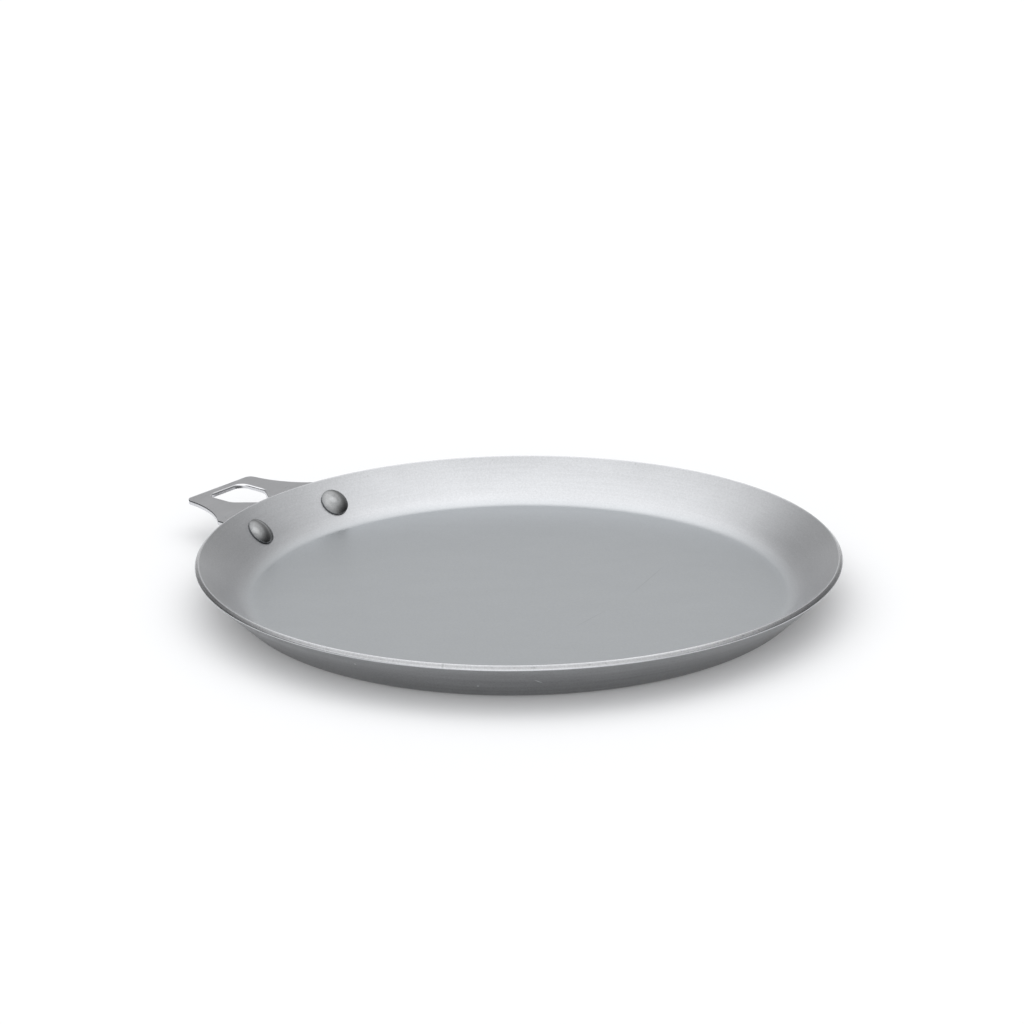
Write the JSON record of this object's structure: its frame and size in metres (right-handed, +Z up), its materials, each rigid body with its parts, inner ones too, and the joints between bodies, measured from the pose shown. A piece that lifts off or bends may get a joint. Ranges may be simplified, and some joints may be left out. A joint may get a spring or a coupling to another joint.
{
  "type": "crepe pan",
  "caption": "Shallow round steel crepe pan with a flared wall and a riveted tab bracket, whose window takes the catch of a clip-on handle.",
  "frame": {"origin": "on the pan's axis, on the plane that the base stands on", "axes": "+X along the bracket's tab, away from the pan; +Z up, out of the pan's mouth"},
  "size_m": [0.3154, 0.28, 0.0207],
  "materials": {
    "carbon_steel": "bare rolled carbon steel, satin, with faint mill marks on the floor and fine rings on the wall",
    "bracket_steel": "tumbled stainless sheet, fine even grain, edges rolled over by the blanking",
    "rivet_steel": "satin stainless, slightly rough on the crown"
  },
  "bodies": {
    "root": {"pan_body": "carbon_steel", "handle_bracket": "bracket_steel", "rivet_left": "rivet_steel", "rivet_right": "rivet_steel"}
  },
  "joints": []
}
